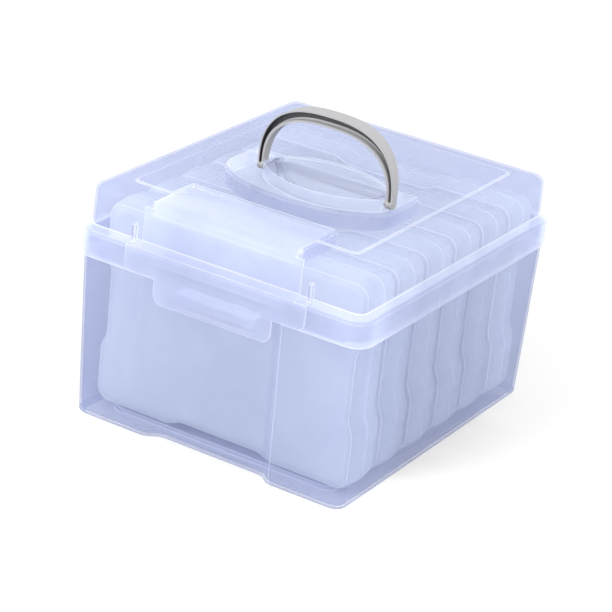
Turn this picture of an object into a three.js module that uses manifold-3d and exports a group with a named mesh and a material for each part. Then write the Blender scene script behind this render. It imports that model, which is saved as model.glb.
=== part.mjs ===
// A clear carrying case that holds six slim picture cases on edge.
// Millimetres. X runs along the front, the latch faces -Y, the lid's hinge is at +Y, Z is up.
// The pieces are drawn about the middle of the lid's skirt. The finished group is moved along Y,
// so that the origin is on the surface that the case stands on, under the middle of the whole.

import * as THREE from 'three';
import { mergeVertices } from 'three/addons/utils/BufferGeometryUtils.js';
import Module from 'manifold-3d';

const wasm = await Module();
wasm.setup();

// Driving dimensions

// The carrying case over the lid's skirt, and up to the margin of the lid's top
const overall = { width: 212, depth: 245.7, height: 159.4, cornerRadius: 12.5 };

// Clearances: touch is left between resting faces, run between faces that slide or turn
const gap = { touch: 0.3, run: 0.4, overrun: 3 };

// The lid: a skirt round the tub's rim, a sloped shelf, a wall and a rounded top edge
const lidSize = {
  height: 48,
  wall: 1.5,
  skirtHeight: 15.7,
  skirtWall: 1.2,
  shelfInset: 5.5,
  shelfRise: 4.5,
  shelfLipInset: 1.4,
  shelfLipRise: 2.2,
  draft: 0.6,
  edgeRadius: 6.7,
};

// The low raised panel in the lid's top, inside a margin on every side
const panelSize = { sideMargin: 24, endMargin: 24.35, rise: 1, slope: 0.8, cornerRadius: 5 };

// The notch in the lid's top front, where the latch is hinged
const notchSize = { width: 104, back: 75.6, depth: 9 };

// The opening in the skirt behind the latch's tongue, and the ribs on both sides of the latch
const skirtCut = { width: 99, height: 9.6 };
const guideRib = { besideLatch: 5.5, width: 2.8, stand: 2.6, height: 10 };

// The D-shaped well that the folded handle lies in, and the island that carries its pivots
const well = { sideRoom: 10, frontRoom: 4, back: 10, side: 19, depth: 9.4 };
const island = { halfDepth: 25.5, endHalfDepth: 5, endClearance: 1.2, dish: 1.6 };

// The tub
const tubSize = {
  wall: 1.6,
  floor: 1.8,
  setback: 1.9,
  draft: 3.35,
  edgeRadius: 3.2,
  cornerRadius: 8,
  rimInset: 1.1,
  rimStepRise: 1.6,
};

// The tub's rounded bottom edge, as shares of its radius across and up
const edgeFootShare = 0.7;
const edgeMiddleShare = { inset: 0.2, rise: 0.3 };

// The middle of the tub's floor stands higher, over a little more than the lid's panel
const floorRaise = { beyondPanel: 1.5, rise: 2.5, slope: 1 };

// The hollow down the tub's front, for the fingers that lift the latch
const recessSize = { width: 98, floorWidth: 71, depth: 8.8 };
const recessWallShare = 0.3;

// The ledge across the hollow that the latch's tongue closes over
const catchSize = { width: 56.6, belowSkirt: 3.4, height: 7, plate: 1.8, faceBehindSkirt: 1.4 };

// The latch: a bent plate with shoulders, wings and a tongue
const latchSize = {
  plate: 1.5,
  shoulderReach: 5.5,
  shoulderDrop: 4.4,
  wingReach: 8.5,
  wingBottomAboveSkirt: 1.1,
  wingCorner: 5,
  tongueWidth: 86.5,
  tongueBelowCatch: 4.2,
  tongueCorner: 6.5,
  bendBeyondEdge: 0.8,
  sunk: 0.2,
  barrelRadius: 3.2,
  pinRadius: 1.6,
  pinLength: 1.6,
  beadWidth: 52,
  beadHeight: 2,
  beadStand: 1.2,
  beadBelowCatch: 0.7,
};

// The handle: an arched channel, open to the front, wider and thicker at its crown
const handleSize = {
  halfWidth: 50.5,
  rise: 46.5,
  endThickness: 4.2,
  crownThickness: 8,
  front: -6,
  endDepth: 10,
  flange: 1.3,
  web: 1.5,
  channelLift: 3,
  pinRadius: 2.2,
  pinLength: 3.2,
};
const crownDepthShare = 0.4;

// The lid's hinges: two ears with a pin on the tub, a knuckle on the lid, at each place
const hingeSize = {
  places: [-60, 60],
  pinRadius: 1.8,
  knuckleRadius: 3.9,
  knuckleWidth: 22,
  ear: 2.6,
  earRadius: 4.2,
  behindSkirt: 4.2,
  belowSkirt: 4.6,
};

// The picture cases, each of two shallow trays, standing on a long edge. They fill the tub, apart
// from the room left beside, before, behind, between and over them.
const innerCount = 6;
const innerRoom = { side: 2.15, front: 4.2, back: 5, between: 2, over: 3.3 };
const innerSize = {
  wall: 1.2,
  cornerRadius: 11,
  draft: 0.8,
  edgeInset: 5.2,
  edgeRise: 1.4,
  shoulderInset: 1.8,
  shoulderRise: 5,
  waistSlope: 6,
  longWaistWidth: 82,
  shortWaistWidth: 66,
};

// Each picture case's hinge at the bottom and its snap tab at the top, both in the waists
const innerHinge = {
  radius: 1.8,
  lidWidth: 27,
  baseWidth: 10,
  pinRadius: 0.9,
  pinLength: 5,
  arm: 1.4,
};
const innerTab = { width: 24, thickness: 1.3, lap: 5, root: 3 };

// How finely the round shapes are divided
const facets = {
  corner: 5,
  innerCorner: 3,
  recessSlope: 4,
  edge: 4,
  round: 16,
  smallRound: 10,
  arch: 28,
  lens: 12,
};

const weldTolerance = 1e-4;

// Sizes worked out from the driving dimensions

const skirtBottom = overall.height - lidSize.height;
const skirtTop = skirtBottom + lidSize.skirtHeight;
const lidFront = -overall.depth / 2;
const lidWallInset = lidSize.shelfInset + lidSize.draft;
const shelfTop = skirtTop + lidSize.shelfRise;
const ceiling = overall.height - lidSize.wall;
const panelTop = overall.height + panelSize.rise;
const shelfUnderInset = lidSize.shelfInset + lidSize.wall;
const shelfUnderTop = shelfTop - lidSize.wall / 2;
const shelfUnderLipInset = lidSize.skirtWall + lidSize.shelfLipInset;
const shelfUnderLipTop = skirtTop + lidSize.shelfLipRise - lidSize.wall;

const rimInset = tubSize.setback + tubSize.rimInset;
const shelfUnderShare = (rimInset - shelfUnderLipInset) / (shelfUnderInset - shelfUnderLipInset);
const rimTop = THREE.MathUtils.lerp(shelfUnderLipTop, shelfUnderTop, shelfUnderShare) - gap.touch;
const rimStep = skirtBottom + tubSize.rimStepRise;

const notchFloor = overall.height - notchSize.depth;
const wellFloor = overall.height - well.depth;
const islandTop = panelTop - island.dish;

const hingeY = overall.depth / 2 + hingeSize.behindSkirt;
const hingeZ = skirtBottom - hingeSize.belowSkirt;

// The plate's rear corner stands proud of the barrel by half its thickness, and swings past the
// notch's back wall
const latchSwing = latchSize.barrelRadius + latchSize.plate / 2;
const latchAxisY = -(notchSize.back + gap.run + latchSwing);
const latchTop = overall.height - latchSize.sunk;
const latchAxisZ = latchTop - latchSwing;
const shoulderHalf = notchSize.width / 2 + latchSize.shoulderReach;
const wingHalf = shoulderHalf + latchSize.wingReach;
const catchTop = skirtBottom - catchSize.belowSkirt;
const catchBottom = catchTop - catchSize.height;
const tongueBottom = catchBottom - latchSize.tongueBelowCatch;

const handlePivotRadius = handleSize.endDepth / 2;
const handleAxisY = handleSize.front + handlePivotRadius;
const handleAxisZ = wellFloor + gap.run + handlePivotRadius;
const handleInner = handleSize.halfWidth - handleSize.endThickness;

const wellHalfWidth = handleSize.halfWidth + well.sideRoom;
const wellFront = handleSize.rise - handleAxisY + well.frontRoom;

const innerFloor = tubSize.floor + floorRaise.rise;
const innerBottom = innerFloor + gap.touch;
const innerHeight = wellFloor - lidSize.wall - innerRoom.over - innerBottom;

const tubInset = tubSize.setback + tubSize.draft + tubSize.wall;
const innerWidth = overall.width - 2 * (tubInset + innerRoom.side);
const rowFront = tubInset - overall.depth / 2 + recessSize.depth + innerRoom.front;
const rowBack = overall.depth / 2 - tubInset - innerRoom.back;
const innerPitch = (rowBack - rowFront + innerRoom.between) / innerCount;
const innerThickness = innerPitch - innerRoom.between;

// Where the hinge's axis lies from the middle of a picture case, in a waist that just holds it
const innerWaistDepth = 2 * innerHinge.radius + gap.touch;
const innerWaistEdge = innerHeight / 2 - innerWaistDepth;
const innerAxis = innerWaistEdge + gap.touch + innerHinge.radius;
const innerParting = innerThickness / 2;

// Building blocks

// The points along a rounded rectangle, anticlockwise, with an optional hollow in its front
// side and optional waists in all four sides
function outlinePoints({ halfX, halfY, radius, segments, recess, waist }) {
  const corners = [
    { x: halfX - radius, y: -halfY + radius, start: -Math.PI / 2 },
    { x: halfX - radius, y: halfY - radius, start: 0 },
    { x: -halfX + radius, y: halfY - radius, start: Math.PI / 2 },
    { x: -halfX + radius, y: -halfY + radius, start: Math.PI },
  ];
  const sides = [frontHollow(halfY, recess), [], [], []];
  if (waist) {
    const long = waistPoints(waist.long, waist, halfY);
    const short = waistPoints(waist.short, waist, halfX);
    sides[0] = long;
    sides[1] = short.map((p) => new THREE.Vector2(-p.y, p.x));
    sides[2] = long.map((p) => new THREE.Vector2(-p.x, -p.y));
    sides[3] = short.map((p) => new THREE.Vector2(p.y, -p.x));
  }
  const points = [];
  corners.forEach((corner, index) => {
    points.push(...sides[index]);
    for (let i = 0; i <= segments; i += 1) {
      const angle = corner.start + (i / segments) * (Math.PI / 2);
      const x = corner.x + radius * Math.cos(angle);
      const y = corner.y + radius * Math.sin(angle);
      points.push(new THREE.Vector2(x, y));
    }
  });
  return points;
}

// The soft-sided hollow in the middle of a front side at -halfY
function frontHollow(halfY, recess) {
  if (!recess) {
    return [];
  }
  const left = [];
  for (let i = 0; i <= facets.recessSlope; i += 1) {
    const share = i / facets.recessSlope;
    const x = -THREE.MathUtils.lerp(recess.outerHalf, recess.floorHalf, share);
    const y = -halfY + recess.depth * THREE.MathUtils.smoothstep(share, 0, 1);
    left.push(new THREE.Vector2(x, y));
  }
  const right = left.map((p) => new THREE.Vector2(-p.x, p.y)).reverse();
  return [...left, ...right];
}

// The four points of a shallow waist in a side at -half
function waistPoints(width, waist, half) {
  const outer = width / 2;
  const inner = outer - waist.slope;
  const floor = -half + waist.depth;
  return [
    new THREE.Vector2(-outer, -half),
    new THREE.Vector2(-inner, floor),
    new THREE.Vector2(inner, floor),
    new THREE.Vector2(outer, -half),
  ];
}

// A closed skin through outlines that all have the same number of points: a cap on the first,
// a band to each next one, and a cap on the last. A cup goes up its outside and down its inside.
function loft(rings) {
  const count = rings[0].points.length;
  const positions = rings.flatMap(({ points, z }) => points.flatMap((p) => [p.x, p.y, z]));
  const index = [];
  for (let ring = 0; ring < rings.length - 1; ring += 1) {
    for (let i = 0; i < count; i += 1) {
      const a = ring * count + i;
      const b = ring * count + ((i + 1) % count);
      index.push(a, b, b + count, a, b + count, a + count);
    }
  }
  const first = THREE.ShapeUtils.triangulateShape(rings[0].points, []);
  first.forEach(([a, b, c]) => index.push(a, c, b));
  const last = rings[rings.length - 1];
  const offset = count * (rings.length - 1);
  const end = THREE.ShapeUtils.triangulateShape(last.points, []);
  end.forEach(([a, b, c]) => index.push(a + offset, b + offset, c + offset));
  const geometry = new THREE.BufferGeometry();
  geometry.setAttribute('position', new THREE.Float32BufferAttribute(positions, 3));
  geometry.setIndex(index);
  return geometry;
}

// A box from its lowest corner to its highest
function boxBetween(low, high) {
  const size = high.map((value, axis) => value - low[axis]);
  const middle = high.map((value, axis) => (value + low[axis]) / 2);
  return new THREE.BoxGeometry(...size).translate(...middle);
}

// A round bar along X between two places
function barAlongX(radius, from, to, y, z, sides) {
  const bar = new THREE.CylinderGeometry(radius, radius, to - from, sides);
  return bar.rotateZ(Math.PI / 2).translate((from + to) / 2, y, z);
}

// An outline in X and Y pushed up from one height to another
function prism(shape, from, to, curveSegments) {
  const options = { depth: to - from, bevelEnabled: false, curveSegments };
  return new THREE.ExtrudeGeometry(shape, options).translate(0, 0, from);
}

// An outline in X and Z pushed along Y from one place to another
function prismAlongY(shape, from, to, curveSegments) {
  const options = { depth: to - from, bevelEnabled: false, curveSegments };
  return new THREE.ExtrudeGeometry(shape, options).rotateX(Math.PI / 2).translate(0, to, 0);
}

// An outline in Y and Z pushed along X, centred on zero
function prismAlongX(shape, width, curveSegments) {
  const options = { depth: width, bevelEnabled: false, curveSegments };
  const solid = new THREE.ExtrudeGeometry(shape, options).translate(0, 0, -width / 2);
  return solid.rotateY(Math.PI / 2).rotateX(Math.PI / 2);
}

function toSolid(geometry) {
  const bare = geometry.clone();
  bare.deleteAttribute('normal');
  bare.deleteAttribute('uv');
  const merged = mergeVertices(bare, weldTolerance);
  const vertProperties = new Float32Array(merged.attributes.position.array);
  const triVerts = new Uint32Array(merged.index.array);
  return new wasm.Manifold(new wasm.Mesh({ numProp: 3, vertProperties, triVerts }));
}

function toGeometry(solid) {
  const mesh = solid.getMesh();
  const geometry = new THREE.BufferGeometry();
  geometry.setAttribute('position', new THREE.Float32BufferAttribute(mesh.vertProperties, 3));
  geometry.setIndex([...mesh.triVerts]);
  geometry.computeVertexNormals();
  return geometry;
}

function join(geometries) {
  return geometries.map(toSolid).reduce((sum, next) => sum.add(next));
}

// The lid

function lidRing(z, inset) {
  const radius = Math.max(overall.cornerRadius - inset, panelSize.cornerRadius);
  const halfX = overall.width / 2 - inset;
  const halfY = overall.depth / 2 - inset;
  return { z, points: outlinePoints({ halfX, halfY, radius, segments: facets.corner }) };
}

function panelRing(z, inset) {
  const halfX = overall.width / 2 - panelSize.sideMargin - inset;
  const halfY = overall.depth / 2 - panelSize.endMargin - inset;
  const radius = panelSize.cornerRadius;
  return { z, points: outlinePoints({ halfX, halfY, radius, segments: facets.corner }) };
}

// The rounded top edge, from the wall to the flat margin, drawn in by the wall's thickness inside
function topEdgeRings(inset, top, radius) {
  const rings = [];
  for (let i = 0; i <= facets.edge; i += 1) {
    const angle = (i / facets.edge) * (Math.PI / 2);
    const z = top - radius * (1 - Math.sin(angle));
    rings.push(lidRing(z, inset + radius * (1 - Math.cos(angle))));
  }
  return rings;
}

function lidShell() {
  const outside = [
    lidRing(skirtBottom, 0),
    lidRing(skirtTop, 0),
    lidRing(skirtTop + lidSize.shelfLipRise, lidSize.shelfLipInset),
    lidRing(shelfTop, lidSize.shelfInset),
    ...topEdgeRings(lidWallInset, overall.height, lidSize.edgeRadius),
    panelRing(overall.height, 0),
    panelRing(panelTop, panelSize.slope),
  ];
  const insideRadius = lidSize.edgeRadius - lidSize.wall;
  const insideEdge = topEdgeRings(lidWallInset + lidSize.wall, ceiling, insideRadius);
  const inside = [
    lidRing(skirtBottom, lidSize.skirtWall),
    lidRing(skirtTop - lidSize.wall / 2, lidSize.skirtWall),
    lidRing(shelfUnderLipTop, shelfUnderLipInset),
    lidRing(shelfUnderTop, shelfUnderInset),
    ...insideEdge,
  ];
  const skin = [...outside.reverse(), ...inside];
  return turnedOver(loft(skin));
}

// A loft that ran from its top down has its faces the wrong way round
function turnedOver(geometry) {
  const index = geometry.getIndex();
  for (let i = 0; i < index.count; i += 3) {
    const second = index.getX(i + 1);
    index.setX(i + 1, index.getX(i + 2));
    index.setX(i + 2, second);
  }
  return geometry;
}

// The floor and sides of the latch's notch, as a block under it, and the notch itself
function notchBlock() {
  const half = notchSize.width / 2 + lidSize.wall;
  const front = lidFront + lidWallInset + lidSize.wall / 2;
  const low = [-half, front, notchFloor - lidSize.wall];
  const high = [half, -notchSize.back + lidSize.wall, ceiling + lidSize.wall / 2];
  return boxBetween(low, high);
}

function notchCut() {
  const half = notchSize.width / 2;
  const low = [-half, lidFront - gap.overrun, notchFloor];
  const high = [half, -notchSize.back, panelTop + gap.overrun];
  return boxBetween(low, high);
}

// The well's outline, grown by a wall all round
function wellShape(grow) {
  const shape = new THREE.Shape();
  const half = wellHalfWidth + grow;
  const rise = wellFront - well.side + grow;
  shape.moveTo(half, well.back + grow);
  shape.lineTo(-half, well.back + grow);
  shape.lineTo(-half, -well.side);
  shape.absellipse(0, -well.side, half, rise, Math.PI, Math.PI * 2, false);
  return shape;
}

// The island's outline: two arcs that meet flat ends, shrunk by a wall all round
function islandShape(shrink) {
  const half = handleInner - island.endClearance - shrink;
  const end = island.endHalfDepth - shrink;
  const side = island.halfDepth - shrink;
  const sag = side - end;
  const radius = (half * half + sag * sag) / (2 * sag);
  const sweep = Math.asin(half / radius);
  const shape = new THREE.Shape();
  const down = Math.PI / 2;
  shape.absarc(0, handleAxisY - side + radius, radius, -down - sweep, -down + sweep, false);
  shape.absarc(0, handleAxisY + side - radius, radius, down - sweep, down + sweep, false);
  return shape;
}

function wellBlock() {
  const bottom = wellFloor - lidSize.wall;
  return prism(wellShape(lidSize.wall), bottom, ceiling + lidSize.wall / 2, facets.lens);
}

function wellCut() {
  const cut = toSolid(prism(wellShape(0), wellFloor, panelTop + gap.overrun, facets.lens));
  const kept = prism(islandShape(0), wellFloor - gap.overrun, islandTop, facets.lens);
  return cut.subtract(toSolid(kept));
}

// The island's top is a shallow dish, let into the panel behind the handle
function dishCut() {
  return prism(islandShape(0), islandTop, panelTop + gap.overrun, facets.lens);
}

function islandHollow() {
  const bottom = wellFloor - lidSize.wall - gap.overrun;
  return prism(islandShape(lidSize.wall), bottom, islandTop - lidSize.wall, facets.lens);
}

// A pair of ribs on the shelf, one on each side of the latch
function guideRibs() {
  const root = lidFront + lidWallInset + lidSize.wall / 2;
  const face = lidFront + lidSize.shelfInset - guideRib.stand;
  const inner = shoulderHalf + guideRib.besideLatch;
  return [-1, 1].map((side) => {
    const near = side * inner;
    const far = side * (inner + guideRib.width);
    const low = [Math.min(near, far), face, skirtTop + lidSize.wall];
    const high = [Math.max(near, far), root, shelfTop + guideRib.height];
    return boxBetween(low, high);
  });
}

// A knuckle behind the skirt with an arm up to it
function lidKnuckle(place) {
  const from = place - hingeSize.knuckleWidth / 2;
  const to = place + hingeSize.knuckleWidth / 2;
  const knuckle = toSolid(barAlongX(hingeSize.knuckleRadius, from, to, hingeY, hingeZ, facets.round));
  const root = overall.depth / 2 - lidSize.skirtWall / 2;
  const back = hingeY + hingeSize.knuckleRadius - lidSize.wall;
  const armTop = skirtBottom + lidSize.skirtHeight / 2;
  const arm = toSolid(boxBetween([from, root, skirtBottom], [to, back, armTop]));
  const web = toSolid(boxBetween([from, hingeY, hingeZ], [to, back, skirtBottom]));
  const boreRadius = hingeSize.pinRadius + gap.touch;
  const boreFrom = from - gap.overrun;
  const bore = barAlongX(boreRadius, boreFrom, to + gap.overrun, hingeY, hingeZ, facets.round);
  return knuckle.add(arm).add(web).subtract(toSolid(bore));
}

function outerLid() {
  const cutHalf = skirtCut.width / 2;
  const cutLow = [-cutHalf, lidFront - gap.overrun, skirtBottom - gap.overrun];
  const cutBack = lidFront + lidSize.skirtWall + gap.touch;
  const cutHigh = [cutHalf, cutBack, skirtBottom + skirtCut.height];
  const latchHalf = notchSize.width / 2 + lidSize.wall + gap.overrun;
  const latchBore = latchSize.pinRadius + gap.touch;
  const handleHalf = handleInner + gap.overrun;
  const handleBore = handleSize.pinRadius + gap.touch;
  const cuts = [
    notchCut(),
    dishCut(),
    islandHollow(),
    boxBetween(cutLow, cutHigh),
    barAlongX(latchBore, -latchHalf, latchHalf, latchAxisY, latchAxisZ, facets.smallRound),
    barAlongX(handleBore, -handleHalf, handleHalf, handleAxisY, handleAxisZ, facets.round),
  ];
  let lid = join([lidShell(), notchBlock(), wellBlock(), ...guideRibs()]);
  lid = lid.subtract(wellCut());
  cuts.forEach((cut) => {
    lid = lid.subtract(toSolid(cut));
  });
  hingeSize.places.forEach((place) => {
    lid = lid.add(lidKnuckle(place));
  });
  return toGeometry(lid);
}

// The tub

function tubRing(z, inset, extra = 0) {
  const fall = tubSize.draft * (1 - z / skirtBottom);
  const total = tubSize.setback + Math.max(fall, 0) + inset + extra;
  const rise = THREE.MathUtils.clamp(z / skirtBottom, 0, 1);
  const rimRadius = overall.cornerRadius - tubSize.setback;
  const corner = THREE.MathUtils.lerp(tubSize.cornerRadius, rimRadius, rise);
  const widen = recessWallShare * inset;
  return {
    z,
    points: outlinePoints({
      halfX: overall.width / 2 - total,
      halfY: overall.depth / 2 - total,
      radius: corner - inset,
      segments: facets.corner,
      recess: {
        outerHalf: recessSize.width / 2 + widen,
        floorHalf: recessSize.floorWidth / 2 + widen,
        depth: recessSize.depth - extra,
      },
    }),
  };
}

// A ring of the raised floor, with the same number of points as the tub's rings
function floorRing(z, inset) {
  const side = panelSize.sideMargin - floorRaise.beyondPanel + inset;
  const end = panelSize.endMargin - floorRaise.beyondPanel + inset;
  return {
    z,
    points: outlinePoints({
      halfX: overall.width / 2 - side,
      halfY: overall.depth / 2 - end,
      radius: tubSize.cornerRadius,
      segments: facets.corner,
      recess: { outerHalf: recessSize.width / 2, floorHalf: recessSize.floorWidth / 2, depth: 0 },
    }),
  };
}

function tubShell() {
  const inner = tubSize.wall;
  const edge = tubSize.edgeRadius;
  return loft([
    floorRing(floorRaise.rise, floorRaise.slope),
    floorRing(0, 0),
    tubRing(0, 0, edge * edgeFootShare),
    tubRing(edge * edgeMiddleShare.rise, 0, edge * edgeMiddleShare.inset),
    tubRing(edge, 0),
    tubRing(skirtBottom, 0),
    tubRing(rimStep, 0, tubSize.rimInset),
    tubRing(rimTop, 0, tubSize.rimInset),
    tubRing(rimTop, inner, tubSize.rimInset),
    tubRing(rimStep, inner, tubSize.rimInset),
    tubRing(skirtBottom, inner, 0),
    tubRing(tubSize.floor + edge, inner),
    tubRing(tubSize.floor, inner, edge / 2),
    floorRing(tubSize.floor, -tubSize.floor / 2),
    floorRing(innerFloor, floorRaise.slope - tubSize.floor / 2),
  ]);
}

// A ledge across the hollow with a lip turned down at its front
function catchLedge() {
  const half = catchSize.width / 2;
  const face = lidFront + catchSize.faceBehindSkirt;
  const root = lidFront + tubSize.setback + recessSize.depth + tubSize.wall / 2;
  const ledge = boxBetween([-half, face, catchTop - catchSize.plate], [half, root, catchTop]);
  const lip = boxBetween([-half, face, catchBottom], [half, face + catchSize.plate, catchTop]);
  return [ledge, lip];
}

// Two ears behind the tub with the pin between them
function tubHinge(place) {
  const inside = hingeSize.knuckleWidth / 2 + gap.run;
  const outside = inside + hingeSize.ear;
  const root = overall.depth / 2 - tubSize.setback - tubSize.wall / 2;
  const ears = [-1, 1].flatMap((side) => {
    const from = place + Math.min(side * inside, side * outside);
    const to = place + Math.max(side * inside, side * outside);
    const disc = barAlongX(hingeSize.earRadius, from, to, hingeY, hingeZ, facets.round);
    const armLow = [from, root, hingeZ - hingeSize.earRadius];
    const arm = boxBetween(armLow, [to, hingeY, hingeZ + hingeSize.pinRadius]);
    return [disc, arm, earBrace(from, to, root)];
  });
  const pinFrom = place - outside;
  const pin = barAlongX(hingeSize.pinRadius, pinFrom, place + outside, hingeY, hingeZ, facets.round);
  return [...ears, pin];
}

// The slanted underside of an ear, from its disc down to the tub's wall
function earBrace(from, to, root) {
  const foot = hingeZ - hingeSize.earRadius - hingeSize.behindSkirt;
  const shape = new THREE.Shape();
  shape.moveTo(root, foot);
  shape.lineTo(hingeY, hingeZ - hingeSize.earRadius);
  shape.lineTo(hingeY, hingeZ);
  shape.lineTo(root, hingeZ);
  return prismAlongX(shape, to - from).translate((from + to) / 2, 0, 0);
}

function outerBase() {
  const hinges = hingeSize.places.flatMap(tubHinge);
  return toGeometry(join([tubShell(), ...catchLedge(), ...hinges]));
}

// The latch

// The plate's section: flat over the notch, bent down the lid's front, out over the shelf, down
function latchSection() {
  const { plate } = latchSize;
  const bendRadius = lidSize.edgeRadius + latchSize.bendBeyondEdge;
  const wallFace = lidFront + lidSize.shelfInset - gap.run;
  const skirtFace = lidFront - gap.run;
  const bottom = tongueBottom - gap.overrun;
  const shelf = shelfTop + gap.run;
  const lip = skirtTop + lidSize.shelfLipRise / 2;
  const bendY = wallFace - plate + bendRadius;
  const bendZ = latchTop - bendRadius;
  const shape = new THREE.Shape();
  shape.moveTo(latchAxisY, latchTop);
  shape.lineTo(bendY, latchTop);
  shape.absarc(bendY, bendZ, bendRadius, Math.PI / 2, Math.PI, false);
  shape.lineTo(wallFace - plate, shelf + plate / 2);
  shape.lineTo(skirtFace - plate, lip + plate);
  shape.lineTo(skirtFace - plate, bottom);
  shape.lineTo(skirtFace, bottom);
  shape.lineTo(skirtFace, lip + plate / 2);
  shape.lineTo(wallFace, shelf);
  shape.lineTo(wallFace, bendZ);
  shape.absarc(bendY, bendZ, bendRadius - plate, Math.PI, Math.PI / 2, true);
  shape.lineTo(latchAxisY, latchTop - plate);
  return shape;
}

// The plate's outline from the front
function latchOutline() {
  const tongue = latchSize.tongueWidth / 2;
  const neck = notchSize.width / 2 - gap.run;
  const wingBottom = skirtBottom + latchSize.wingBottomAboveSkirt;
  const wingTop = skirtTop + lidSize.shelfLipRise;
  const shoulderTop = overall.height - latchSize.shoulderDrop;
  const wingX = wingHalf - latchSize.wingCorner;
  const wingZ = wingBottom + latchSize.wingCorner;
  const tongueX = tongue - latchSize.tongueCorner;
  const tongueZ = tongueBottom + latchSize.tongueCorner;
  const down = -Math.PI / 2;
  const steps = [
    [wingHalf, wingTop],
    [shoulderHalf, wingTop],
    [shoulderHalf, shoulderTop],
    [neck, shoulderTop],
    [neck, panelTop + gap.overrun],
  ];
  const shape = new THREE.Shape();
  shape.moveTo(0, tongueBottom);
  shape.absarc(tongueX, tongueZ, latchSize.tongueCorner, down, 0, false);
  shape.lineTo(tongue, wingBottom);
  shape.absarc(wingX, wingZ, latchSize.wingCorner, down, 0, false);
  steps.forEach(([x, z]) => shape.lineTo(x, z));
  steps.reverse().forEach(([x, z]) => shape.lineTo(-x, z));
  shape.absarc(-wingX, wingZ, latchSize.wingCorner, -Math.PI, down, false);
  shape.lineTo(-tongue, wingBottom);
  shape.absarc(-tongueX, tongueZ, latchSize.tongueCorner, -Math.PI, down, false);
  return shape;
}

function latch() {
  const { plate, barrelRadius, pinRadius } = latchSize;
  const skirtFace = lidFront - gap.run;
  const section = prismAlongX(latchSection(), 2 * (wingHalf + gap.overrun), facets.edge);
  const outlineFront = skirtFace - plate - gap.overrun;
  const outline = prismAlongY(latchOutline(), outlineFront, latchAxisY + gap.overrun, facets.edge);
  const barrelHalf = notchSize.width / 2 - gap.run;
  const pinHalf = barrelHalf + latchSize.pinLength;
  const beadTop = catchBottom - latchSize.beadBelowCatch;
  const beadHalf = latchSize.beadWidth / 2;
  const bead = boxBetween(
    [-beadHalf, skirtFace - plate / 2, beadTop - latchSize.beadHeight],
    [beadHalf, skirtFace + latchSize.beadStand, beadTop],
  );
  const solid = toSolid(section).intersect(toSolid(outline));
  const barrel = barAlongX(barrelRadius, -barrelHalf, barrelHalf, latchAxisY, latchAxisZ, facets.round);
  const pin = barAlongX(pinRadius, -pinHalf, pinHalf, latchAxisY, latchAxisZ, facets.smallRound);
  return toGeometry(solid.add(join([barrel, pin, bead])));
}

// The handle

// The arch between two half ellipses, closed along the pivot line
function archShape(outerX, outerZ, innerX, innerZ, lift) {
  const shape = new THREE.Shape();
  shape.moveTo(outerX, handleAxisZ + lift);
  shape.absellipse(0, handleAxisZ + lift, outerX, outerZ - lift, 0, Math.PI, false);
  shape.lineTo(-innerX, handleAxisZ + lift);
  shape.absellipse(0, handleAxisZ + lift, innerX, innerZ - lift, Math.PI, 0, true);
  return shape;
}

// Towards the crown the handle grows deeper, away from its flat front
function deepen(geometry) {
  const position = geometry.getAttribute('position');
  for (let i = 0; i < position.count; i += 1) {
    const rise = Math.max(position.getZ(i) - handleAxisZ, 0) / handleSize.rise;
    const scale = 1 + crownDepthShare * rise;
    position.setY(i, handleSize.front + (position.getY(i) - handleSize.front) * scale);
  }
  geometry.computeVertexNormals();
  return geometry;
}

// A bar on the handle's pivot line between two places, given in either order
function pivotBar(radius, one, other) {
  const from = Math.min(one, other);
  const to = Math.max(one, other);
  return barAlongX(radius, from, to, handleAxisY, handleAxisZ, facets.round);
}

function handle() {
  const { halfWidth, rise, flange, front, endDepth, web, crownThickness } = handleSize;
  const innerRise = rise - crownThickness;
  const back = front + endDepth;
  const archOutline = archShape(halfWidth, rise, handleInner, innerRise, 0);
  const arch = prismAlongY(archOutline, front, back, facets.arch);
  const channelOuter = [halfWidth - flange, rise - flange];
  const channelInner = [handleInner + flange, innerRise + flange];
  const channelShape = archShape(...channelOuter, ...channelInner, handleSize.channelLift);
  const channel = prismAlongY(channelShape, front - gap.overrun, back - web, facets.arch);
  const ends = [-1, 1].flatMap((side) => {
    const far = side * halfWidth;
    return [
      pivotBar(handlePivotRadius, side * handleInner, far),
      pivotBar(handleSize.pinRadius, side * (handleInner - handleSize.pinLength), far),
    ];
  });
  const solid = toSolid(arch).subtract(toSolid(channel)).add(join(ends));
  return deepen(toGeometry(solid));
}

// The picture cases

function trayRing(z, inset) {
  return {
    z,
    points: outlinePoints({
      halfX: innerWidth / 2 - inset,
      halfY: innerHeight / 2 - inset,
      radius: innerSize.cornerRadius - Math.min(inset, innerSize.shoulderInset),
      segments: facets.innerCorner,
      waist: {
        long: innerSize.longWaistWidth,
        short: innerSize.shortWaistWidth,
        depth: innerWaistDepth,
        slope: innerSize.waistSlope,
      },
    }),
  };
}

// One half of a picture case, lying on its face with its rim up
function tray() {
  const { wall, draft, edgeInset, edgeRise, shoulderInset, shoulderRise } = innerSize;
  const rim = innerThickness / 2 - gap.touch / 2;
  return loft([
    trayRing(0, edgeInset),
    trayRing(edgeRise, shoulderInset + draft / 2),
    trayRing(shoulderRise, draft),
    trayRing(rim, 0),
    trayRing(rim, wall),
    trayRing(shoulderRise + wall, wall + draft),
    trayRing(wall, edgeInset + wall / 2),
  ]);
}

// A knuckle and the arm that joins it to its own tray, in the waist on the side given
function innerKnuckle(from, to, side) {
  const y = side * innerAxis;
  const knuckle = barAlongX(innerHinge.radius, from, to, y, innerParting, facets.smallRound);
  const inside = side * (innerWaistEdge - innerSize.wall / 2);
  const low = [from, Math.min(inside, y), innerParting - innerHinge.radius - innerHinge.arm];
  const high = [to, Math.max(inside, y), innerParting - gap.touch - innerHinge.radius / 2];
  return [knuckle, boxBetween(low, high)];
}

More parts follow.
